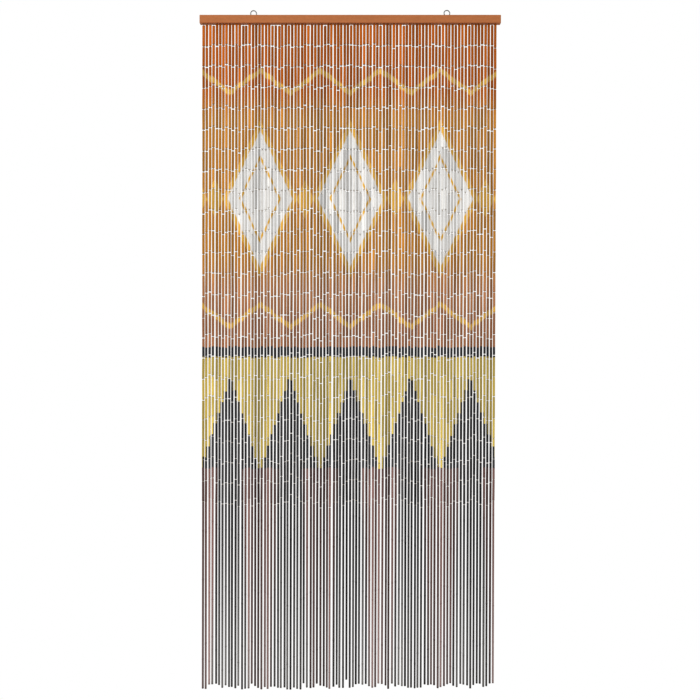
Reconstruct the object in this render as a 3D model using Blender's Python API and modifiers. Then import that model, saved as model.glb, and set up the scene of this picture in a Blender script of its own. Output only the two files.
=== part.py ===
"""A bamboo strand door curtain on its wooden header rail, with two screw eyes on top.

Metres. X runs along the rail, Y runs from the front to the back, and Z points up. The origin is
midway between the centres of the two rings.
"""

import math
import random

import bmesh
import bpy
from mathutils import Matrix, Vector

# Fit
PIECE_GAP = 0.0003
WELD_DISTANCE = 0.000001

# Header rail
RAIL_LENGTH = 0.900
RAIL_HEIGHT = 0.024
RAIL_DEPTH = 0.021
RAIL_EDGE = 0.0009
RAIL_EDGE_STEPS = 2

# Screw eyes
EYE_SPACING = 0.579
EYE_RING_RADIUS = 0.0088
EYE_WIRE_RADIUS = 0.0014
EYE_SHANK_RADIUS = 0.0016
EYE_SHANK_LENGTH = 0.012
EYE_MEAN_RISE = 0.0073
EYE_RING_SIDES = 28
EYE_WIRE_SIDES = 8
EYE_SHANK_SIDES = 12
# Each eye's side of the middle, how much higher than the mean it stands, and its turn in degrees.
EYES = {
    "eye_left": {"side": -1, "lift": -0.0004, "turn": 3.0},
    "eye_right": {"side": 1, "lift": 0.0004, "turn": 8.0},
}

# Colours, as linear red, green and blue
PAINT_COLOUR = (0.50, 0.14, 0.045)
BAMBOO_COLOUR = (0.36, 0.11, 0.03)
STEEL_COLOUR = (0.42, 0.42, 0.41)

# Strands, seen from the front and counted from the left
STRAND_COUNT = 90
STRAND_PITCH = 0.009812
STRAND_FIRST_X = -0.4386
SHORT_TUBE_COUNT = 23
SHORT_TUBE_PITCH = 0.0621
TOP_TUBE_RADIUS = 0.0038
LOW_TUBE_RADIUS = 0.0033
LONG_TUBE_RADIUS = 0.0029
LONG_TUBE_LENGTH = 0.5515
RADIUS_STEP_LENGTH = 0.004
HOOK_DROP = 0.0045

# How far the lower end of the first strand hangs to the left, and how much farther the last one's
FIRST_STRAND_LEAN = 0.0032
LAST_STRAND_EXTRA_LEAN = 0.0046
# How unevenly they hang: each value is the most that a strand may be out, either way
HOOK_SHIFT = 0.0007
SIDE_LEAN = 0.0009
SIDE_BOW = 0.0004
DEPTH_LEAN = 0.0008
END_SHIFT = 0.0095
END_RISE_AT_RIGHT = 0.0045
UNEVEN_SEED = 13
# One strand near the middle ends well above the rest.
SHORT_STRAND = 44
SHORT_STRAND_RISE = 0.0207

# Comb spine, which stands for the row of wire hooks under the rail
SPINE_HEIGHT = 0.0030
SPINE_DEPTH = 0.0084
SPINE_OVERHANG = 0.0050
STRAND_ROOT_DEPTH = 0.0015

RAIL_TOP_Z = -EYE_MEAN_RISE
RAIL_BOTTOM_Z = RAIL_TOP_Z - RAIL_HEIGHT
SPINE_TOP_Z = RAIL_BOTTOM_Z - PIECE_GAP
STRAND_TOP_Z = SPINE_TOP_Z - STRAND_ROOT_DEPTH
LONG_TUBE_TOP_Z = RAIL_BOTTOM_Z - HOOK_DROP - SHORT_TUBE_COUNT * SHORT_TUBE_PITCH
STRAND_END_Z = LONG_TUBE_TOP_Z - LONG_TUBE_LENGTH

COLLECTION_NAME = "bamboo_strand_door_curtain"
CUTTER_COLLECTION_NAME = "cutters"


def clear_scene():
    for obj in list(bpy.data.objects):
        bpy.data.objects.remove(obj, do_unlink=True)


def new_collection(name):
    collection = bpy.data.collections.new(name)
    bpy.context.scene.collection.children.link(collection)
    return collection


def new_material(name, colour, roughness, metallic):
    material = bpy.data.materials.new(name)
    material.use_nodes = True
    shader = material.node_tree.nodes["Principled BSDF"]
    shader.inputs["Base Color"].default_value = (*colour, 1.0)
    shader.inputs["Roughness"].default_value = roughness
    shader.inputs["Metallic"].default_value = metallic
    material.diffuse_color = (*colour, 1.0)
    return material


def mesh_object(name, mesh, collection):
    obj = bpy.data.objects.new(name, mesh)
    collection.objects.link(obj)
    return obj


def box_mesh(name, low, high):
    """A box between two opposite corners."""
    low = Vector(low)
    high = Vector(high)
    size = high - low
    place = Matrix.Translation((low + high) / 2) @ Matrix.Diagonal((*size, 1.0))
    box = bmesh.new()
    bmesh.ops.create_cube(box, size=1.0, matrix=place)
    mesh = bpy.data.meshes.new(name)
    box.to_mesh(mesh)
    box.free()
    return mesh


def curve_as_mesh(curve_object, collection):
    """Replaces a capped curve with a closed mesh object of the same name."""
    name = curve_object.name
    evaluated = curve_object.evaluated_get(bpy.context.evaluated_depsgraph_get())
    mesh = bpy.data.meshes.new_from_object(evaluated)
    welded = bmesh.new()
    welded.from_mesh(mesh)
    bmesh.ops.remove_doubles(welded, verts=welded.verts, dist=WELD_DISTANCE)
    welded.to_mesh(mesh)
    welded.free()
    placed = curve_object.matrix_world.copy()
    bpy.data.objects.remove(curve_object, do_unlink=True)
    obj = mesh_object(name, mesh, collection)
    obj.matrix_world = placed
    return obj


def boolean(obj, operation, tool):
    cut = obj.modifiers.new(operation.title() + " " + tool.name, "BOOLEAN")
    cut.operation = operation
    cut.solver = "EXACT"
    cut.object = tool


def move_to_cutters(obj, cutters):
    for collection in list(obj.users_collection):
        collection.objects.unlink(obj)
    cutters.objects.link(obj)
    obj.hide_render = True
    obj.display_type = "WIRE"


def eye_solid(name, clearance, parts, cutters):
    """One screw eye, larger all over by the clearance: a ring with the shank joined below it."""
    eye = EYES[name]
    centre = Vector((eye["side"] * EYE_SPACING / 2, 0.0, eye["lift"]))
    turn = math.radians(eye["turn"])
    bpy.ops.mesh.primitive_torus_add(
        major_radius=EYE_RING_RADIUS,
        minor_radius=EYE_WIRE_RADIUS + clearance,
        major_segments=EYE_RING_SIDES,
        minor_segments=EYE_WIRE_SIDES,
        location=centre,
        rotation=(math.pi / 2, 0.0, turn),
    )
    ring = bpy.context.object
    shank_length = EYE_SHANK_LENGTH + 2 * clearance
    shank_middle_z = -EYE_RING_RADIUS - EYE_SHANK_LENGTH / 2
    shank_place = Matrix.Translation((0.0, 0.0, shank_middle_z))
    rod = bmesh.new()
    bmesh.ops.create_cone(
        rod,
        cap_ends=True,
        segments=EYE_SHANK_SIDES,
        radius1=EYE_SHANK_RADIUS + clearance,
        radius2=EYE_SHANK_RADIUS + clearance,
        depth=shank_length,
        matrix=shank_place,
    )
    shank_mesh = bpy.data.meshes.new(name + "_shank")
    rod.to_mesh(shank_mesh)
    rod.free()
    shank = mesh_object(name + "_shank", shank_mesh, parts)
    shank.location = centre
    shank.rotation_euler = (0.0, 0.0, turn)
    for collection in list(ring.users_collection):
        collection.objects.unlink(ring)
    parts.objects.link(ring)
    boolean(ring, "UNION", shank)
    move_to_cutters(shank, cutters)
    return ring


def build_eye(name, parts, cutters):
    eye = eye_solid(name, 0.0, parts, cutters)
    eye.name = name
    eye.data.name = name
    eye.data.materials.append(new_material(name + "_steel", STEEL_COLOUR, 0.35, 1.0))
    return eye


def build_rail(parts, cutters):
    half_length = RAIL_LENGTH / 2
    half_depth = RAIL_DEPTH / 2
    mesh = box_mesh(
        "rail",
        (-half_length, -half_depth, RAIL_BOTTOM_Z),
        (half_length, half_depth, RAIL_TOP_Z),
    )
    rail = mesh_object("rail", mesh, parts)
    eased = rail.modifiers.new("Eased edges", "BEVEL")
    eased.width = RAIL_EDGE
    eased.segments = RAIL_EDGE_STEPS
    for name in EYES:
        seat = eye_solid(name, PIECE_GAP, parts, cutters)
        seat.name = name + "_seat"
        boolean(rail, "DIFFERENCE", seat)
        move_to_cutters(seat, cutters)
    rail.data.materials.append(new_material("rail_paint", PAINT_COLOUR, 0.45, 0.0))
    return rail


def strand_points(index, uneven):
    """The points down one strand's middle, each with the strand's radius there."""
    share = index / (STRAND_COUNT - 1)
    top_x = STRAND_FIRST_X + index * STRAND_PITCH + uneven.uniform(-HOOK_SHIFT, HOOK_SHIFT)
    lean = uneven.uniform(-SIDE_LEAN, SIDE_LEAN) - FIRST_STRAND_LEAN - LAST_STRAND_EXTRA_LEAN * share
    bow = uneven.uniform(-SIDE_BOW, SIDE_BOW)
    depth_lean = uneven.uniform(-DEPTH_LEAN, DEPTH_LEAN)
    end_z = STRAND_END_Z + uneven.uniform(-END_SHIFT, END_SHIFT) + END_RISE_AT_RIGHT * share**2
    if index == SHORT_STRAND:
        end_z = STRAND_END_Z + SHORT_STRAND_RISE
    middle_z = (STRAND_TOP_Z + LONG_TUBE_TOP_Z) / 2
    levels = (
        (STRAND_TOP_Z, TOP_TUBE_RADIUS),
        (middle_z, (TOP_TUBE_RADIUS + LOW_TUBE_RADIUS) / 2),
        (LONG_TUBE_TOP_Z, LOW_TUBE_RADIUS),
        (LONG_TUBE_TOP_Z - RADIUS_STEP_LENGTH, LONG_TUBE_RADIUS),
        (end_z, LONG_TUBE_RADIUS),
    )
    points = []
    for z, radius in levels:
        down = (STRAND_TOP_Z - z) / (STRAND_TOP_Z - STRAND_END_Z)
        x = top_x + lean * down + bow * math.sin(math.pi * down)
        points.append((Vector((x, depth_lean * down, z)), radius))
    return points


def build_strands(parts, cutters):
    """The comb: ninety eight-sided strands, joined to one spine along their tops."""
    curve = bpy.data.curves.new("strand_lines", "CURVE")
    curve.dimensions = "3D"
    curve.bevel_depth = TOP_TUBE_RADIUS
    curve.bevel_resolution = 2
    curve.use_fill_caps = True
    uneven = random.Random(UNEVEN_SEED)
    for index in range(STRAND_COUNT):
        points = strand_points(index, uneven)
        spline = curve.splines.new("POLY")
        spline.points.add(len(points) - 1)
        for spline_point, (place, radius) in zip(spline.points, points):
            spline_point.co = (*place, 1.0)
            spline_point.radius = radius / TOP_TUBE_RADIUS
    lines = bpy.data.objects.new("strand_lines", curve)
    parts.objects.link(lines)
    teeth = curve_as_mesh(lines, parts)
    last_x = STRAND_FIRST_X + (STRAND_COUNT - 1) * STRAND_PITCH
    spine_mesh = box_mesh(
        "strands",
        (STRAND_FIRST_X - SPINE_OVERHANG, -SPINE_DEPTH / 2, SPINE_TOP_Z - SPINE_HEIGHT),
        (last_x + SPINE_OVERHANG, SPINE_DEPTH / 2, SPINE_TOP_Z),
    )
    comb = mesh_object("strands", spine_mesh, parts)
    boolean(comb, "UNION", teeth)
    move_to_cutters(teeth, cutters)
    comb.data.materials.append(new_material("strand_bamboo", BAMBOO_COLOUR, 0.6, 0.0))
    return comb


def main():
    clear_scene()
    parts = new_collection(COLLECTION_NAME)
    cutters = new_collection(CUTTER_COLLECTION_NAME)
    build_rail(parts, cutters)
    for name in EYES:
        build_eye(name, parts, cutters)
    build_strands(parts, cutters)


main()
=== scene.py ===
"""The looks of a bamboo strand door curtain that hangs from a painted wooden header rail.

Metres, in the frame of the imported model: X runs along the rail, Y from the front to the back and
Z up, with the origin midway between the centres of the two rings.
"""

import math
import random

import bpy
import numpy as np
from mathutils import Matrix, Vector


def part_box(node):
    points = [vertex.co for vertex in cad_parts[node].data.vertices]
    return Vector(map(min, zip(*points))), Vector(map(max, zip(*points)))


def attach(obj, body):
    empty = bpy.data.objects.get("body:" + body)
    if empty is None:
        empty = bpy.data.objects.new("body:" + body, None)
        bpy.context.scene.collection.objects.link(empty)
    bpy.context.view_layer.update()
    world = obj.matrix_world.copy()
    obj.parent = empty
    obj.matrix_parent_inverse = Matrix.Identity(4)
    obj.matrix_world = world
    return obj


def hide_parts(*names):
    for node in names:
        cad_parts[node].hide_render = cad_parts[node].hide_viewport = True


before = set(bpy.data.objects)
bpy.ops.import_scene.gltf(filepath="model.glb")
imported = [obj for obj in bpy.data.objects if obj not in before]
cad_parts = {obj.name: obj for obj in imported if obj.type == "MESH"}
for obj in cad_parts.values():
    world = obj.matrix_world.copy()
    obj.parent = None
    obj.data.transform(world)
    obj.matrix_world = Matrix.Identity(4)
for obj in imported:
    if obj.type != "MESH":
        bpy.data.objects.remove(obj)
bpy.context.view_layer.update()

# Header rail, read from the frame
RAIL_LOW, RAIL_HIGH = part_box("rail")
RAIL_BOTTOM_Z = RAIL_LOW[2]
RAIL_TOP_Z = RAIL_HIGH[2]

# Screw eyes, as in the CAD
EYE_SPACING = 0.579
EYE_RING_RADIUS = 0.0088
EYE_WIRE_RADIUS = 0.0014
EYE_SHANK_RADIUS = 0.0016
EYE_SHANK_LENGTH = 0.012
EYES = {
    "eye_left": {"side": -1, "lift": -0.0004, "turn": 3.0},
    "eye_right": {"side": 1, "lift": 0.0004, "turn": 8.0},
}
# The wire's bend into the ring, how far round the ring it goes, and how many points and sides it has
EYE_BEND = math.radians(14.0)
EYE_ARC = math.radians(352.0)
EYE_BEND_STEPS = 6
EYE_ARC_STEPS = 56
EYE_SIDES = 14
# The shank's tip, as a share of the shank's thickness
EYE_TIP = 0.25

# Strands, as in the CAD
STRAND_COUNT = 90
STRAND_PITCH = 0.009812
STRAND_FIRST_X = -0.4386
SHORT_TUBE_COUNT = 23
SHORT_TUBE_PITCH = 0.0621
LONG_TUBE_LENGTH = 0.5515
HOOK_DROP = 0.0045
FIRST_STRAND_LEAN = 0.0032
LAST_STRAND_EXTRA_LEAN = 0.0046
# By how much strands differ: at the hook, in lean, bow and depth, and at the end
HOOK_SHIFT = 0.0007
SIDE_LEAN = 0.0009
SIDE_BOW = 0.0004
DEPTH_LEAN = 0.0008
END_SHIFT = 0.0095
END_RISE_AT_RIGHT = 0.0045
UNEVEN_SEED = 13
# The one strand that ends higher than the others
SHORT_STRAND = 44
SHORT_STRAND_RISE = 0.0207
STRAND_TOP_DROP = 0.0018
STRAND_TOP_Z = RAIL_BOTTOM_Z - STRAND_TOP_DROP
LONG_TUBE_TOP_Z = RAIL_BOTTOM_Z - HOOK_DROP - SHORT_TUBE_COUNT * SHORT_TUBE_PITCH
STRAND_END_Z = LONG_TUBE_TOP_Z - LONG_TUBE_LENGTH

# Tubes
GROUP_COUNT = 6
TUBE_SIDES = 10
TOP_TUBE_RADIUS = 0.0038
LOW_TUBE_RADIUS = 0.0033
TUBE_RADIUS_SHIFT = 0.00014
TUBE_TAPER = 0.00008
LONG_RADIUS = 0.0030
LONG_RADIUS_SHIFT = 0.00015
LONG_TAPER = 0.00010
BORE_SHARE = 0.52
BORE_DEPTH = 0.0016
TUBE_EDGE = 0.00035
# How bare the rim of a sawn end is, where 1 is bare bamboo and 0 is paint
RIM_BARENESS = 0.5
# The stretch of a tube next to its end that has rings of its own, for the darker paint there
END_STRETCH = 0.0040
# Gaps between tubes: usual ones at the top and at the foot, and by how much they and the joints differ
TOP_JOINT_GAP = 0.0032
LOW_JOINT_GAP = 0.0013
GAP_LEAST_SHARE = 0.6
GAP_POWER = 1.5
SMALLEST_HOOK_GAP = 0.0008
HOOK_GAP_SPREAD = 0.0062
LENGTH_SHIFT = 0.0030
HOOK_LEVEL_SHIFT = 0.0045
JOINT_SHIFT = 0.0003
DETAIL_SEED = 29
# Knots of the long tubes: how many, their spread, and the ridge as rows of distance and height
KNOT_COUNT = 3
KNOT_SHIFT = 0.05
KNOT_RIDGE = ((-0.0050, 0.0), (-0.0014, 0.00012), (0.0, 0.00034), (0.0014, 0.00008), (0.0050, 0.0))
KNOT_RUB = 0.0009
# Edges sharper than this stay sharp in the smooth shading
SHARP_ANGLE = math.radians(60.0)

# Wire links: the wire's radius, half a loop's width, and how far a loop reaches into a tube
LINK_WIRE = 0.00034
LINK_HALF_WIDTH = 0.00095
LINK_EMBED = 0.0009
LINK_STEPS = 10
LINK_SIDES = 4

# Painted design, from the top: its levels and the half sizes of its figures
FIELD_END_Z = -0.999
BAND_END_Z = -1.029
GOLD_END_Z = -1.361
# Where the field's colours begin to change and have changed
AMBER_LEVELS = (-0.21, -0.33)
LOW_LEVELS = (-0.72, -0.84)
DUSK_LEVELS = (-0.84, -0.94)
# Where the lower part begins to pale and has paled
PALING_LEVELS = (-1.50, -2.07)
# How soft the edges are, and how much higher or lower the design lies from strand to strand
PAINT_SOFT = 0.0016
GOLD_SOFT = 0.0036
PAINT_SHIFT = 0.0030
ZIGZAG_PERIOD = 0.18
ZIGZAG_RISE = 0.034
ZIGZAG_HALF_THICKNESS = 0.0085
ZIGZAG_LEVELS = (-0.205, -0.905)
LOZENGE_PERIOD = 0.27
LOZENGE_LEVEL = -0.555
LOZENGE_HALF_WIDTH = 0.112
LOZENGE_HALF_HEIGHT = 0.235
DIAMOND_HALF_WIDTH = 0.026
DIAMOND_HALF_HEIGHT = 0.058
# As shares of a lozenge's half size: its soft outline, where the white begins, and the inner line
LOZENGE_OUTLINE = (1.02, 0.98)
LOZENGE_WHITE = (0.89, 0.85)
LOZENGE_LINE = (0.50, 0.56)
LOZENGE_LINE_SOFT = 0.015
DIAMOND_OUTLINE = (1.05, 0.95)
STEP_HEIGHT = 0.033
STEP_INSET = 0.0105
STEP_HALF_WIDTH = 0.082
STEP_COUNT = 8
ROSE_TOP_HALF_WIDTH = 0.055
ROSE_FOOT_HALF_WIDTH = 0.032
ROSE_SOFT = 0.006

# Bamboo: each noise has its scale, detail and roughness, and each amount is its share in the tone
WANDER_NOISE = (70.0, 1.0)
WANDER = 0.006
FIBRE_STRETCH = (1.0, 1.0, 0.02)
FIBRE_NOISE = (1500.0, 3.0, 0.6)
FIBRE_AMOUNT = 0.5
STREAK_STRETCH = (1.0, 1.0, 0.06)
STREAK_NOISE = (420.0, 2.0)
STREAK_AMOUNT = 0.4
TUBE_AMOUNT = 0.22
# How much a strand's own tone counts in the painted field, how much more below it, and where
STRAND_AMOUNT = 0.25
LOW_STRAND_AMOUNT = 0.62
LOW_STRAND_LEVELS = (BAND_END_Z, GOLD_END_Z - 0.1)
# Paint rubbed off at the edges: how ragged, how far from the edge, and how much of it
RUB_RAGGED = 0.0024
RUB_REACH = (0.0008, 0.0002)
RUB_AMOUNT = 0.40
PAINT_ROUGHNESS = 0.44
PAINT_ROUGHNESS_RANGE = 0.22
FIBRE_BUMP = (0.5, 0.00015)
# Darker tone at the tube ends: how far it reaches and how dark it is
END_SHADE_REACH = 0.0040
END_SHADE = 0.22
# The darker mark at each strand's foot: how dark it is, where it fades and is full, and below
# which levels it lies
FOOT_SHADE = 0.34
FOOT_SHADE_REACH = (0.0042, 0.0038)
FOOT_LEVELS = (STRAND_END_Z + 0.045, STRAND_END_Z + 0.030)

# Rail: the stretch, noise and amount of its grain, its cloudy tones and its mottle
RAIL_GRAIN = ((0.02, 1.0, 1.0), (900.0, 3.0, 0.6), 0.24)
RAIL_CLOUDS = ((0.15, 1.0, 1.0), (60.0, 2.0), 0.14)
RAIL_MOTTLE = ((0.5, 1.0, 1.0), (240.0, 2.0), 0.22)
# Its ragged edges, with how far from the edge the painted shade, the wear and the sawn end reach
RAIL_CHIP_NOISE = (260.0, 3.0, 0.7)
RAIL_RAGGED = 0.004
# The painted shade darkens all the rail's edges and stands in for the shade at its underside
RAIL_PAINTED_SHADE_REACH = (0.0015, 0.0004)
RAIL_PAINTED_SHADE_AMOUNT = 0.50
RAIL_WEAR_REACH = (-0.0002, -0.0010)
RAIL_WEAR_AMOUNT = 0.55
SAWN_END_REACH = (0.0030, 0.0)
SAWN_END_AMOUNT = 0.45
RAIL_ROUGHNESS = 0.42
RAIL_ROUGHNESS_RANGE = 0.2
RAIL_BUMP = (0.5, 0.0002)

# Metal
METAL_CLOUD_NOISE = (500.0, 3.0, 0.6)
METAL_DARKEST = 0.8
METAL_TONE_RANGE = 0.4
METAL_ROUGHNESS_RANGE = 0.25
SCRATCH_STRETCH = (1.0, 1.0, 0.2)
SCRATCH_NOISE = (4000.0, 2.0)
SCRATCH_BUMP = (0.2, 0.00005)
ZINC_ROUGHNESS = 0.30
LINK_ROUGHNESS = 0.22

# How strongly the matt paint mirrors the studio
PAINT_SHINE = 0.08
# A noise lies around this value
NOISE_MIDDLE = 0.5

# Colours, as linear red, green and blue
TERRACOTTA = (0.430, 0.124, 0.009)
AMBER = (0.463, 0.220, 0.036)
LOW_TERRACOTTA = (0.410, 0.198, 0.088)
DUSK = (0.338, 0.158, 0.076)
GOLD = (0.610, 0.370, 0.070)
CREAM_GOLD = (0.500, 0.385, 0.100)
OFF_WHITE = (0.660, 0.645, 0.620)
CHARCOAL = (0.0460, 0.0436, 0.0430)
ROSE = (0.153, 0.089, 0.078)
PALE_CHARCOAL = (0.126, 0.120, 0.114)
PALE_ROSE = (0.206, 0.152, 0.143)
BARE_BAMBOO = (0.60, 0.43, 0.24)
RAIL_PAINT = (0.495, 0.205, 0.086)
# The colour of the painted shade along the rail's edges
RAIL_EDGE_PAINTED_SHADE = (0.34, 0.08, 0.020)
RAIL_WORN = (0.45, 0.28, 0.17)
ZINC = (0.27, 0.27, 0.26)
LINK_STEEL = (0.48, 0.47, 0.45)

# Camera and studio
CAMERA_PLACE = (-0.00075, -3.0105, -1.0079)
CAMERA_LENS = 51.69
FLOOR_Z = -2.10
FLOOR_SIZE = 14.0
DOME_STRENGTH = 0.80
FLOOR_GREY = 0.80
FLOOR_ROUGHNESS = 0.9
WHITE = (1.0, 1.0, 1.0, 1.0)
KEY_PLACE = (-1.6, -3.6, 1.2)
KEY_AIM = (0.0, 0.0, -0.9)
KEY_SIZE = 2.2
KEY_POWER = 62.0
# Below 1, this darkens middle tones as print film does, and keeps white white
VIEW_GAMMA = 0.80


class Graph:
    """A material and short ways to add nodes to it. Any input takes a number, a colour or a socket."""

    def __init__(self, name):
        self.material = bpy.data.materials.new(name)
        self.material.use_nodes = True
        self.tree = self.material.node_tree
        self.shader = self.tree.nodes["Principled BSDF"]

    def feed(self, socket, value):
        if isinstance(value, bpy.types.NodeSocket):
            self.tree.links.new(value, socket)
        elif isinstance(value, tuple) and len(value) == 3 and socket.type == "RGBA":
            socket.default_value = (*value, 1.0)
        else:
            socket.default_value = value

    def maths(self, operation, *values):
        node = self.tree.nodes.new("ShaderNodeMath")
        node.operation = operation
        for socket, value in zip(node.inputs, values):
            self.feed(socket, value)
        return node.outputs[0]

    def step(self, value, low, high):
        """0 below low and 1 above high, with a smooth rise between them."""
        node = self.tree.nodes.new("ShaderNodeMapRange")
        node.interpolation_type = "SMOOTHSTEP"
        self.feed(node.inputs["Value"], value)
        self.feed(node.inputs["From Min"], low)
        self.feed(node.inputs["From Max"], high)
        return node.outputs["Result"]

    def mix(self, share, first, second, way="MIX"):
        node = self.tree.nodes.new("ShaderNodeMix")
        node.data_type = "RGBA"
        node.blend_type = way
        self.feed(node.inputs["Factor"], share)
        colours = [socket for socket in node.inputs if socket.type == "RGBA"]
        self.feed(colours[0], first)
        self.feed(colours[1], second)
        return next(socket for socket in node.outputs if socket.type == "RGBA")

    def scaled(self, colour, amount):
        """The colour times a number."""
        grey = self.tree.nodes.new("ShaderNodeCombineColor")
        for socket in grey.inputs:
            self.feed(socket, amount)
        return self.mix(1.0, colour, grey.outputs[0], "MULTIPLY")

    def attribute(self, name):
        node = self.tree.nodes.new("ShaderNodeAttribute")
        node.attribute_type = "GEOMETRY"
        node.attribute_name = name
        return node.outputs["Fac"]

    def place(self):
        return self.tree.nodes.new("ShaderNodeTexCoord").outputs["Object"]

    def split(self, vector):
        node = self.tree.nodes.new("ShaderNodeSeparateXYZ")
        self.feed(node.inputs[0], vector)
        return node.outputs

    def stretched(self, vector, scale):
        node = self.tree.nodes.new("ShaderNodeMapping")
        self.feed(node.inputs["Vector"], vector)
        self.feed(node.inputs["Scale"], scale)
        return node.outputs[0]

    def noise(self, vector, scale, detail, rough=0.5):
        node = self.tree.nodes.new("ShaderNodeTexNoise")
        self.feed(node.inputs["Vector"], vector)
        self.feed(node.inputs["Scale"], scale)
        self.feed(node.inputs["Detail"], detail)
        self.feed(node.inputs["Roughness"], rough)
        return node.outputs["Fac"]

    def varied(self, value, noise, amount):
        """The value, moved up and down by a noise."""
        return self.maths("MULTIPLY_ADD", self.maths("SUBTRACT", noise, NOISE_MIDDLE), amount, value)

    def surface(self, colour, roughness, shine=None):
        self.feed(self.shader.inputs["Base Color"], colour)
        self.feed(self.shader.inputs["Roughness"], roughness)
        if shine is not None:
            self.feed(self.shader.inputs["Specular IOR Level"], shine)

    def bump(self, height, strength, distance):
        node = self.tree.nodes.new("ShaderNodeBump")
        self.feed(node.inputs["Height"], height)
        self.feed(node.inputs["Strength"], strength)
        self.feed(node.inputs["Distance"], distance)
        self.tree.links.new(node.outputs[0], self.shader.inputs["Normal"])


def triangle_wave(graph, x, period, offset=0.0):
    """Rises from 0 to half the period and falls back, with a 0 at the offset."""
    moved = graph.maths("SUBTRACT", x, offset)
    return graph.maths("PINGPONG", moved, period / 2)


def zigzag_mask(graph, x, z, level):
    wave = triangle_wave(graph, x, ZIGZAG_PERIOD)
    rise = graph.maths("MULTIPLY_ADD", wave, 4 * ZIGZAG_RISE / ZIGZAG_PERIOD, level - ZIGZAG_RISE)
    away = graph.maths("ABSOLUTE", graph.maths("SUBTRACT", z, rise))
    edge = ZIGZAG_HALF_THICKNESS
    return graph.maths("SUBTRACT", 1.0, graph.step(away, edge - GOLD_SOFT, edge + GOLD_SOFT))


def lozenge_distance(graph, x, z, offset, half_width, half_height):
    """0 in the middle of the nearest lozenge of the row and 1 on its outline."""
    across = triangle_wave(graph, x, LOZENGE_PERIOD, offset)
    up = graph.maths("ABSOLUTE", graph.maths("SUBTRACT", z, LOZENGE_LEVEL))
    return graph.maths("MULTIPLY_ADD", across, 1 / half_width, graph.maths("DIVIDE", up, half_height))


def between(graph, value, low, high, soft):
    rise = graph.step(value, low - soft, low + soft)
    fall = graph.step(value, high - soft, high + soft)
    return graph.maths("SUBTRACT", rise, fall)


def stepped_triangle_mask(graph, x, z):
    """A row of stepped triangles that stand on the gold zone's lower edge."""
    across = triangle_wave(graph, x, ZIGZAG_PERIOD)
    height = graph.maths("SUBTRACT", z, GOLD_END_Z)
    stair = graph.maths("FLOOR", graph.maths("DIVIDE", height, STEP_HEIGHT))
    half_width = graph.maths("MULTIPLY_ADD", stair, -STEP_INSET, STEP_HALF_WIDTH)
    inside = graph.maths("SUBTRACT", half_width, across)
    covered = graph.step(inside, -PAINT_SOFT, PAINT_SOFT)
    # A stair is a whole number, so the limit lies halfway between the last one and the next
    below_top = graph.maths("LESS_THAN", stair, STEP_COUNT - 0.5)
    return graph.maths("MULTIPLY", covered, below_top)


def split_at(graph, z, level, above, below):
    """One colour above a level and another one below it."""
    return graph.mix(graph.step(z, level + PAINT_SOFT, level - PAINT_SOFT), above, below)


def painted_field(graph, x, z):
    """The field's ground colours with zigzags, lozenges and small diamonds."""
    field = graph.mix(graph.step(z, *AMBER_LEVELS), TERRACOTTA, AMBER)
    field = graph.mix(graph.step(z, *LOW_LEVELS), field, LOW_TERRACOTTA)
    field = graph.mix(graph.step(z, *DUSK_LEVELS), field, DUSK)
    for level in ZIGZAG_LEVELS:
        field = graph.mix(zigzag_mask(graph, x, z, level), field, GOLD)
    large = lozenge_distance(graph, x, z, 0.0, LOZENGE_HALF_WIDTH, LOZENGE_HALF_HEIGHT)
    field = graph.mix(graph.step(large, *LOZENGE_OUTLINE), field, GOLD)
    field = graph.mix(graph.step(large, *LOZENGE_WHITE), field, OFF_WHITE)
    field = graph.mix(between(graph, large, *LOZENGE_LINE, LOZENGE_LINE_SOFT), field, GOLD)
    small = lozenge_distance(graph, x, z, LOZENGE_PERIOD / 2, DIAMOND_HALF_WIDTH, DIAMOND_HALF_HEIGHT)
    return graph.mix(graph.step(small, *DIAMOND_OUTLINE), field, GOLD)


def painted_feet(graph, x, z):
    """Charcoal and rose columns that narrow and grow paler towards the foot."""
    across = triangle_wave(graph, x, ZIGZAG_PERIOD, ZIGZAG_PERIOD / 2)
    depth = graph.maths("SUBTRACT", GOLD_END_Z, z)
    narrowing = (ROSE_FOOT_HALF_WIDTH - ROSE_TOP_HALF_WIDTH) / (GOLD_END_Z - STRAND_END_Z)
    reach = graph.maths("MULTIPLY_ADD", depth, narrowing, ROSE_TOP_HALF_WIDTH)
    rose_share = graph.step(graph.maths("SUBTRACT", reach, across), -ROSE_SOFT, ROSE_SOFT)
    upper_tones = graph.mix(rose_share, CHARCOAL, ROSE)
    foot_tones = graph.mix(rose_share, PALE_CHARCOAL, PALE_ROSE)
    return graph.mix(graph.step(z, *PALING_LEVELS), upper_tones, foot_tones)


def painted_design(graph, x, z):
    """The colours of the painted design at a place on the curtain."""
    gold_zone = graph.mix(stepped_triangle_mask(graph, x, z), CREAM_GOLD, CHARCOAL)
    colour = split_at(graph, z, FIELD_END_Z, painted_field(graph, x, z), CHARCOAL)
    colour = split_at(graph, z, BAND_END_Z, colour, gold_zone)
    return split_at(graph, z, GOLD_END_Z, colour, painted_feet(graph, x, z))


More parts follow.
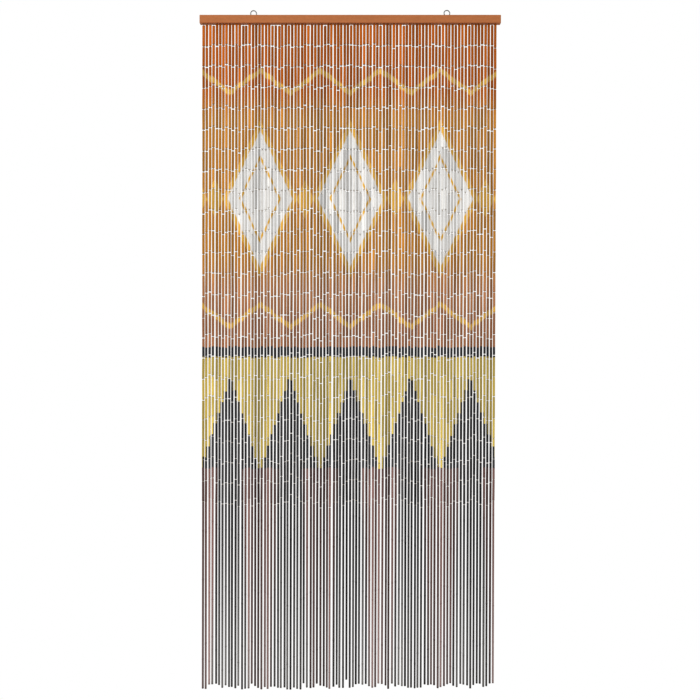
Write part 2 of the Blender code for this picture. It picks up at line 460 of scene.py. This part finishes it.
def bamboo_material():
    graph = Graph("painted_bamboo")
    place = graph.place()
    x, _, z = graph.split(place)
    fibres = graph.noise(graph.stretched(place, FIBRE_STRETCH), *FIBRE_NOISE)
    streaks = graph.noise(graph.stretched(place, STREAK_STRETCH), *STREAK_NOISE)
    from_edge = graph.attribute("from_edge")

    # The paint, with edges that wander from tube to tube
    shift = graph.maths("MULTIPLY", graph.attribute("paint_shift"), PAINT_SHIFT)
    shift = graph.varied(shift, graph.noise(place, *WANDER_NOISE), WANDER)
    paint = painted_design(graph, x, graph.maths("ADD", z, shift))

    # Its tone, as the exponent of a factor
    low_share = graph.step(z, *LOW_STRAND_LEVELS)
    strand_amount = graph.maths("MULTIPLY_ADD", low_share, LOW_STRAND_AMOUNT, STRAND_AMOUNT)
    tone = graph.maths("MULTIPLY", graph.attribute("strand_tone"), strand_amount)
    tone = graph.maths("MULTIPLY_ADD", graph.attribute("tube_tone"), TUBE_AMOUNT, tone)
    tone = graph.varied(tone, fibres, FIBRE_AMOUNT)
    tone = graph.varied(tone, streaks, STREAK_AMOUNT)
    tone = graph.maths("MULTIPLY_ADD", graph.step(from_edge, END_SHADE_REACH, 0.0), -END_SHADE, tone)
    foot = graph.maths("MULTIPLY", graph.step(z, *FOOT_LEVELS), graph.step(from_edge, *FOOT_SHADE_REACH))
    tone = graph.maths("MULTIPLY_ADD", foot, -FOOT_SHADE, tone)
    paint = graph.scaled(paint, graph.maths("EXPONENT", tone))

    # Bare bamboo at the sawn ends and where an edge has lost some paint
    rubbed = graph.step(graph.varied(from_edge, fibres, RUB_RAGGED), *RUB_REACH)
    bare = graph.maths("MAXIMUM", graph.attribute("bare"), graph.maths("MULTIPLY", rubbed, RUB_AMOUNT))
    wood = graph.scaled(BARE_BAMBOO, graph.varied(1.0, fibres, 1.0))

    roughness = graph.maths("MULTIPLY_ADD", streaks, PAINT_ROUGHNESS_RANGE, PAINT_ROUGHNESS)
    graph.surface(graph.mix(bare, paint, wood), roughness, PAINT_SHINE)
    graph.bump(fibres, *FIBRE_BUMP)
    return graph.material


def rail_edge_distances(graph, place):
    """How far a place is from the rail's nearest edge, and from its nearer end."""
    x, y, z = graph.split(place)
    half_depth = (RAIL_HIGH[1] - RAIL_LOW[1]) / 2
    half_height = (RAIL_TOP_Z - RAIL_BOTTOM_Z) / 2
    middle_z = (RAIL_TOP_Z + RAIL_BOTTOM_Z) / 2
    off_middle = graph.maths("ABSOLUTE", graph.maths("SUBTRACT", z, middle_z))
    in_x = graph.maths("SUBTRACT", RAIL_HIGH[0], graph.maths("ABSOLUTE", x))
    in_y = graph.maths("SUBTRACT", half_depth, graph.maths("ABSOLUTE", y))
    in_z = graph.maths("SUBTRACT", half_height, off_middle)
    long_edge = graph.maths("MAXIMUM", in_y, in_z)
    end_edge = graph.maths("MAXIMUM", in_x, graph.maths("MINIMUM", in_y, in_z))
    return graph.maths("MINIMUM", long_edge, end_edge), in_x


def rail_material():
    graph = Graph("rail_paint")
    place = graph.place()
    tone = 1.0
    noises = []
    for stretch, noise, amount in (RAIL_GRAIN, RAIL_CLOUDS, RAIL_MOTTLE):
        noises.append(graph.noise(graph.stretched(place, stretch), *noise))
        tone = graph.varied(tone, noises[-1], amount)
    grain, clouds, _ = noises
    from_edge, from_end = rail_edge_distances(graph, place)
    ragged = graph.varied(from_edge, graph.noise(place, *RAIL_CHIP_NOISE), RAIL_RAGGED)
    # Painted shade: a darker band along all the rail's edges, for the shade at the rail's underside
    shade = graph.maths("MULTIPLY", graph.step(ragged, *RAIL_PAINTED_SHADE_REACH), RAIL_PAINTED_SHADE_AMOUNT)
    paint = graph.mix(shade, graph.scaled(RAIL_PAINT, tone), RAIL_EDGE_PAINTED_SHADE)
    worn = graph.maths("MULTIPLY", graph.step(ragged, *RAIL_WEAR_REACH), RAIL_WEAR_AMOUNT)
    sawn_end = graph.maths("MULTIPLY", graph.step(from_end, *SAWN_END_REACH), SAWN_END_AMOUNT)
    worn = graph.maths("MAXIMUM", worn, sawn_end)
    roughness = graph.maths("MULTIPLY_ADD", clouds, RAIL_ROUGHNESS_RANGE, RAIL_ROUGHNESS)
    graph.surface(graph.mix(worn, paint, RAIL_WORN), roughness, PAINT_SHINE)
    graph.bump(grain, *RAIL_BUMP)
    return graph.material


def metal_material(name, colour, roughness):
    graph = Graph(name)
    place = graph.place()
    cloud = graph.noise(place, *METAL_CLOUD_NOISE)
    scratches = graph.noise(graph.stretched(place, SCRATCH_STRETCH), *SCRATCH_NOISE)
    tone = graph.maths("MULTIPLY_ADD", cloud, METAL_TONE_RANGE, METAL_DARKEST)
    roughness = graph.maths("MULTIPLY_ADD", cloud, METAL_ROUGHNESS_RANGE, roughness)
    graph.surface(graph.scaled(colour, tone), roughness)
    graph.feed(graph.shader.inputs["Metallic"], 1.0)
    graph.bump(scratches, *SCRATCH_BUMP)
    return graph.material


def new_piece(name, mesh, material, body, replaced):
    piece = bpy.data.objects.new(name, mesh)
    bpy.context.scene.collection.objects.link(piece)
    mesh.materials.append(material)
    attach(piece, body)
    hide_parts(replaced)


def mesh_from_arrays(name, vertices, polygons):
    """A mesh from an array of places and a list of arrays of corners, one array for each side count."""
    mesh = bpy.data.meshes.new(name)
    corners = np.concatenate([block.ravel() for block in polygons])
    sizes = np.concatenate([np.full(len(block), block.shape[1]) for block in polygons])
    mesh.vertices.add(len(vertices))
    mesh.vertices.foreach_set("co", vertices.astype(np.float32).ravel())
    mesh.loops.add(len(corners))
    mesh.loops.foreach_set("vertex_index", corners.astype(np.int32))
    mesh.polygons.add(len(sizes))
    mesh.polygons.foreach_set("loop_start", (np.cumsum(sizes) - sizes).astype(np.int32))
    mesh.update(calc_edges=True)
    mesh.validate()
    mesh.shade_smooth()
    mesh.set_sharp_from_angle(angle=SHARP_ANGLE)
    return mesh


def set_attribute(mesh, name, values):
    layer = mesh.attributes.new(name, "FLOAT", "POINT")
    layer.data.foreach_set("value", np.ascontiguousarray(values, np.float32).ravel())


def band_corners(first, rings, sides):
    """Four-sided faces between neighbouring rings of a tube that starts at a first vertex."""
    ring = np.arange(rings - 1)[:, None] * sides
    side = np.arange(sides)[None, :]
    after = (side + 1) % sides
    corners = np.stack([ring + side, ring + sides + side, ring + sides + after, ring + after], -1)
    return first + corners.reshape(-1, 4)


def cap_corners(first, rings, sides):
    """The discs at the two ends of a tube's skin."""
    side = np.arange(sides)
    return first + np.stack([side, (rings - 1) * sides + side[::-1]])


class Strand:
    """One strand's course, its joints from the rail down, and its tones."""

    def __init__(self, index, uneven, detail):
        share = index / (STRAND_COUNT - 1)
        hook_shift = uneven.uniform(-HOOK_SHIFT, HOOK_SHIFT)
        self.top_x = STRAND_FIRST_X + index * STRAND_PITCH + hook_shift
        lean = uneven.uniform(-SIDE_LEAN, SIDE_LEAN)
        self.lean = lean - FIRST_STRAND_LEAN - LAST_STRAND_EXTRA_LEAN * share
        self.bow = uneven.uniform(-SIDE_BOW, SIDE_BOW)
        self.depth_lean = uneven.uniform(-DEPTH_LEAN, DEPTH_LEAN)
        end_z = STRAND_END_Z + uneven.uniform(-END_SHIFT, END_SHIFT) + END_RISE_AT_RIGHT * share**2
        if index == SHORT_STRAND:
            end_z = STRAND_END_Z + SHORT_STRAND_RISE
        self.end = self.course(end_z)
        self.tone = detail.uniform(-1.0, 1.0)
        self.paint_shift = detail.uniform(-1.0, 1.0)
        self.joints = []
        hook_gap = SMALLEST_HOOK_GAP + HOOK_GAP_SPREAD * detail.random() ** 2
        top = RAIL_BOTTOM_Z
        self.joints.append((self.course(top), self.course(top - hook_gap)))
        middle = top - HOOK_DROP + detail.uniform(-HOOK_LEVEL_SHIFT, HOOK_LEVEL_SHIFT)
        for row in range(SHORT_TUBE_COUNT):
            down = row / (SHORT_TUBE_COUNT - 1)
            usual_gap = TOP_JOINT_GAP + (LOW_JOINT_GAP - TOP_JOINT_GAP) * down
            middle -= SHORT_TUBE_PITCH + detail.uniform(-LENGTH_SHIFT, LENGTH_SHIFT)
            half_gap = usual_gap * (GAP_LEAST_SHARE + detail.random() ** GAP_POWER) / 2
            shift = Vector((detail.uniform(-1.0, 1.0), detail.uniform(-1.0, 1.0), 0.0)) * JOINT_SHIFT
            upper = self.course(middle + half_gap) + shift
            lower = self.course(middle - half_gap) + shift
            self.joints.append((upper, lower))

    def course(self, z):
        down = (STRAND_TOP_Z - z) / (STRAND_TOP_Z - STRAND_END_Z)
        x = self.top_x + self.lean * down + self.bow * math.sin(math.pi * down)
        return Vector((x, self.depth_lean * down, z))

    def short_tubes(self):
        """(top, bottom) of each short tube, from the rail down."""
        return [(self.joints[n][1], self.joints[n + 1][0]) for n in range(SHORT_TUBE_COUNT)]

    def long_tube(self):
        return self.joints[-1][1], self.end


def end_profile(radius):
    """A hollow end in rows of distance from the end, radius, distance from a rubbed edge, bareness."""
    bore = radius * BORE_SHARE
    return [
        (BORE_DEPTH, bore, 0.0, 1.0),
        (0.0, bore, 0.0, 1.0),
        (0.0, radius - TUBE_EDGE, 0.0, RIM_BARENESS),
        (TUBE_EDGE, radius, TUBE_EDGE, 0.0),
        (END_STRETCH, radius, END_STRETCH, 0.0),
    ]


def tube_profile(length, top_radius, bottom_radius, knots):
    """Rows of distance from the top, radius, distance from a rubbed edge, and bareness."""
    rows = end_profile(top_radius)
    if knots:
        for knot in knots:
            radius = top_radius + (bottom_radius - top_radius) * knot / length
            for away, height in KNOT_RIDGE:
                rows.append((knot + away, radius + height, KNOT_RUB + abs(away), 0.0))
    else:
        rows.append((length / 2, (top_radius + bottom_radius) / 2, length / 2, 0.0))
    for away, radius, edge, bare in reversed(end_profile(bottom_radius)):
        rows.append((length - away, radius, edge, bare))
    return rows


def own_profile(length, down, is_long, detail):
    """The profile of one tube with its own thickness, taper and knots, at a share of the way down."""
    if is_long:
        usual_radius = LONG_RADIUS
        shift = LONG_RADIUS_SHIFT
    else:
        usual_radius = TOP_TUBE_RADIUS + (LOW_TUBE_RADIUS - TOP_TUBE_RADIUS) * down
        shift = TUBE_RADIUS_SHIFT
    radius = usual_radius + detail.uniform(-shift, shift)
    taper = detail.uniform(-TUBE_TAPER, TUBE_TAPER)
    knots = []
    if is_long:
        taper += LONG_TAPER
        step = length / KNOT_COUNT
        for number in range(KNOT_COUNT):
            knots.append((number + 0.5) * step + detail.uniform(-KNOT_SHIFT, KNOT_SHIFT))
    return tube_profile(length, radius + taper, radius - taper, knots)


def tube_rings(top, bottom, along, radii, turn):
    """Ring vertices of one tube, from its top down."""
    share = along / (top[2] - bottom[2])
    middle = np.array(top) + share[:, None] * (np.array(bottom) - np.array(top))
    angle = turn + np.arange(TUBE_SIDES) * 2 * math.pi / TUBE_SIDES
    circle = np.stack([np.cos(angle), np.sin(angle), np.zeros(TUBE_SIDES)], -1)
    return middle[:, None, :] + radii[:, None, None] * circle[None]


def tubes_mesh(name, strands, detail):
    places = []
    looks = {"strand_tone": [], "tube_tone": [], "paint_shift": [], "from_edge": [], "bare": []}
    bands = []
    caps = []
    count = 0
    for strand in strands:
        tubes = [(top, bottom, False) for top, bottom in strand.short_tubes()]
        tubes.append((*strand.long_tube(), True))
        for top, bottom, is_long in tubes:
            down = (RAIL_BOTTOM_Z - (top[2] + bottom[2]) / 2) / (RAIL_BOTTOM_Z - LONG_TUBE_TOP_Z)
            rows = own_profile(top[2] - bottom[2], down, is_long, detail)
            along, radii, from_edge, bare = np.array(rows).T
            rings = tube_rings(top, bottom, along, radii, detail.uniform(0.0, math.pi))
            places.append(rings.reshape(-1, 3))
            total = len(rows) * TUBE_SIDES
            looks["strand_tone"].append(np.full(total, strand.tone))
            looks["tube_tone"].append(np.full(total, detail.uniform(-1.0, 1.0)))
            looks["paint_shift"].append(np.full(total, strand.paint_shift))
            looks["from_edge"].append(np.repeat(from_edge, TUBE_SIDES))
            looks["bare"].append(np.repeat(bare, TUBE_SIDES))
            bands.append(band_corners(count, len(rows), TUBE_SIDES))
            caps.append(cap_corners(count, len(rows), TUBE_SIDES))
            count += total
    mesh = mesh_from_arrays(name, np.concatenate(places), [np.concatenate(bands), np.concatenate(caps)])
    for look, values in looks.items():
        set_attribute(mesh, look, np.concatenate(values))
    return mesh


def link_vertices(middle, half_height, direction):
    """One closed loop of wire, taller than wide, in the upright plane of a direction."""
    turn = np.arange(LINK_STEPS) * 2 * math.pi / LINK_STEPS
    along = np.array([math.cos(direction), math.sin(direction), 0.0])
    across = np.array([-math.sin(direction), math.cos(direction), 0.0])
    up = np.array([0.0, 0.0, 1.0])
    path = LINK_HALF_WIDTH * np.sin(turn)[:, None] * along + half_height * np.cos(turn)[:, None] * up
    outward = half_height * np.sin(turn)[:, None] * along + LINK_HALF_WIDTH * np.cos(turn)[:, None] * up
    outward /= np.linalg.norm(outward, axis=1)[:, None]
    section = (np.arange(LINK_SIDES) + 0.5) * 2 * math.pi / LINK_SIDES
    out = np.cos(section)[None, :, None] * outward[:, None, :]
    out = out + np.sin(section)[None, :, None] * across
    return (np.array(middle) + path)[:, None, :] + LINK_WIRE * out


def links_mesh(name, strands, detail):
    places = []
    for strand in strands:
        for upper, lower in strand.joints:
            gap = upper[2] - lower[2]
            half_height = (gap / 2 + LINK_WIRE + LINK_EMBED) / 2
            middle = (upper + lower) / 2
            direction = detail.uniform(0.0, math.pi)
            lift = Vector((0.0, 0.0, half_height - LINK_WIRE))
            places.append(link_vertices(middle + lift, half_height, direction))
            places.append(link_vertices(middle - lift, half_height, direction + math.pi / 2))
    places = np.array(places).reshape(-1, 3)
    per_link = LINK_STEPS * LINK_SIDES
    firsts = np.arange(0, len(places), per_link)
    step = np.arange(LINK_STEPS)[:, None]
    side = np.arange(LINK_SIDES)[None, :]
    here = step * LINK_SIDES
    there = (step + 1) % LINK_STEPS * LINK_SIDES
    after = (side + 1) % LINK_SIDES
    one = np.stack([here + side, here + after, there + after, there + side], -1)
    quads = (firsts[:, None, None, None] + one[None]).reshape(-1, 4)
    return mesh_from_arrays(name, places, [quads])


def build_strands():
    bamboo = bamboo_material()
    wire = metal_material("link_wire", LINK_STEEL, LINK_ROUGHNESS)
    uneven = random.Random(UNEVEN_SEED)
    detail = random.Random(DETAIL_SEED)
    strands = [Strand(index, uneven, detail) for index in range(STRAND_COUNT)]
    size = STRAND_COUNT // GROUP_COUNT
    for number in range(GROUP_COUNT):
        group = strands[number * size : (number + 1) * size]
        name = f"strands_{number + 1}"
        new_piece(name, tubes_mesh(name, group, detail), bamboo, "root", "strands")
        name = f"links_{number + 1}"
        new_piece(name, links_mesh(name, group, detail), wire, "root", "strands")


def eye_path():
    """The wire's middle line: up the shank, through a bend and round the ring."""
    points = [Vector((0.0, 0.0, -EYE_RING_RADIUS - EYE_SHANK_LENGTH))]
    points.append(Vector((0.0, 0.0, -EYE_RING_RADIUS - EYE_WIRE_RADIUS)))
    start = -math.pi / 2
    for step in range(EYE_BEND_STEPS):
        share = (step + 1) / (EYE_BEND_STEPS + 1)
        angle = start + share * EYE_BEND
        radius = EYE_RING_RADIUS + EYE_WIRE_RADIUS * (1 - share) ** 2
        points.append(Vector((radius * math.cos(angle), 0.0, radius * math.sin(angle))))
    for step in range(EYE_ARC_STEPS + 1):
        angle = start + EYE_BEND + (EYE_ARC - EYE_BEND) * step / EYE_ARC_STEPS
        points.append(Vector((math.cos(angle), 0.0, math.sin(angle))) * EYE_RING_RADIUS)
    return points


def build_eye(name, material):
    eye = EYES[name]
    curve = bpy.data.curves.new(name + "_wire", "CURVE")
    curve.dimensions = "3D"
    curve.bevel_depth = EYE_WIRE_RADIUS
    # A bevel of resolution n has 2 n + 4 sides
    curve.bevel_resolution = EYE_SIDES // 2 - 2
    curve.use_fill_caps = True
    points = eye_path()
    spline = curve.splines.new("POLY")
    spline.points.add(len(points) - 1)
    for spline_point, place in zip(spline.points, points):
        spline_point.co = (*place, 1.0)
        spline_point.radius = 1.0
    spline.points[0].radius = EYE_SHANK_RADIUS / EYE_WIRE_RADIUS * EYE_TIP
    spline.points[1].radius = EYE_SHANK_RADIUS / EYE_WIRE_RADIUS
    line = bpy.data.objects.new(name + "_wire", curve)
    bpy.context.scene.collection.objects.link(line)
    line.location = (eye["side"] * EYE_SPACING / 2, 0.0, eye["lift"])
    line.rotation_euler = (0.0, 0.0, math.radians(eye["turn"]))
    bpy.context.view_layer.update()
    evaluated = line.evaluated_get(bpy.context.evaluated_depsgraph_get())
    mesh = bpy.data.meshes.new_from_object(evaluated)
    mesh.transform(line.matrix_world)
    bpy.data.objects.remove(line, do_unlink=True)
    mesh.materials.clear()
    mesh.shade_smooth()
    new_piece(name + "_steel", mesh, material, "root", name)


def finish_rail():
    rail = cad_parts["rail"]
    material = rail_material()
    if not rail.material_slots:
        rail.data.materials.append(material)
    for slot in rail.material_slots:
        slot.material = material


def build_camera():
    data = bpy.data.cameras.new("camera")
    data.lens = CAMERA_LENS
    camera = bpy.data.objects.new("camera", data)
    camera.location = CAMERA_PLACE
    camera.rotation_euler = (math.pi / 2, 0.0, 0.0)
    bpy.context.scene.collection.objects.link(camera)
    bpy.context.scene.camera = camera


def build_floor():
    """A plain pale floor under the hanging curtain, white in the picture and softer as a light."""
    mesh = bpy.data.meshes.new("floor")
    half = FLOOR_SIZE / 2
    corners = [(-half, -half), (half, -half), (half, half), (-half, half)]
    mesh.from_pydata([(x, y, FLOOR_Z) for x, y in corners], [], [(0, 1, 2, 3)])
    floor = bpy.data.objects.new("floor", mesh)
    bpy.context.scene.collection.objects.link(floor)
    graph = Graph("floor_white")
    graph.surface((FLOOR_GREY, FLOOR_GREY, FLOOR_GREY), FLOOR_ROUGHNESS)
    white = graph.tree.nodes.new("ShaderNodeEmission")
    rays = graph.tree.nodes.new("ShaderNodeLightPath")
    mixed = graph.tree.nodes.new("ShaderNodeMixShader")
    output = graph.tree.nodes["Material Output"]
    graph.tree.links.new(rays.outputs["Is Camera Ray"], mixed.inputs[0])
    graph.tree.links.new(graph.shader.outputs[0], mixed.inputs[1])
    graph.tree.links.new(white.outputs[0], mixed.inputs[2])
    graph.tree.links.new(mixed.outputs[0], output.inputs["Surface"])
    mesh.materials.append(graph.material)


def build_world():
    world = bpy.data.worlds.new("studio")
    world.use_nodes = True
    tree = world.node_tree
    dome = tree.nodes["Background"]
    dome.inputs["Color"].default_value = WHITE
    dome.inputs["Strength"].default_value = DOME_STRENGTH
    white = tree.nodes.new("ShaderNodeBackground")
    white.inputs["Color"].default_value = WHITE
    rays = tree.nodes.new("ShaderNodeLightPath")
    mixed = tree.nodes.new("ShaderNodeMixShader")
    tree.links.new(rays.outputs["Is Camera Ray"], mixed.inputs[0])
    tree.links.new(dome.outputs[0], mixed.inputs[1])
    tree.links.new(white.outputs[0], mixed.inputs[2])
    tree.links.new(mixed.outputs[0], tree.nodes["World Output"].inputs["Surface"])
    bpy.context.scene.world = world


def build_key_light():
    data = bpy.data.lights.new("key", "AREA")
    data.shape = "SQUARE"
    data.size = KEY_SIZE
    data.energy = KEY_POWER
    light = bpy.data.objects.new("key", data)
    light.location = KEY_PLACE
    aim = Vector(KEY_AIM) - Vector(KEY_PLACE)
    light.rotation_euler = aim.to_track_quat("-Z", "Y").to_euler()
    bpy.context.scene.collection.objects.link(light)


def main():
    build_camera()
    build_world()
    build_key_light()
    build_floor()
    finish_rail()
    zinc = metal_material("zinc_wire", ZINC, ZINC_ROUGHNESS)
    for name in EYES:
        build_eye(name, zinc)
    build_strands()
    view = bpy.context.scene.view_settings
    view.view_transform = "Standard"
    view.gamma = VIEW_GAMMA


main()
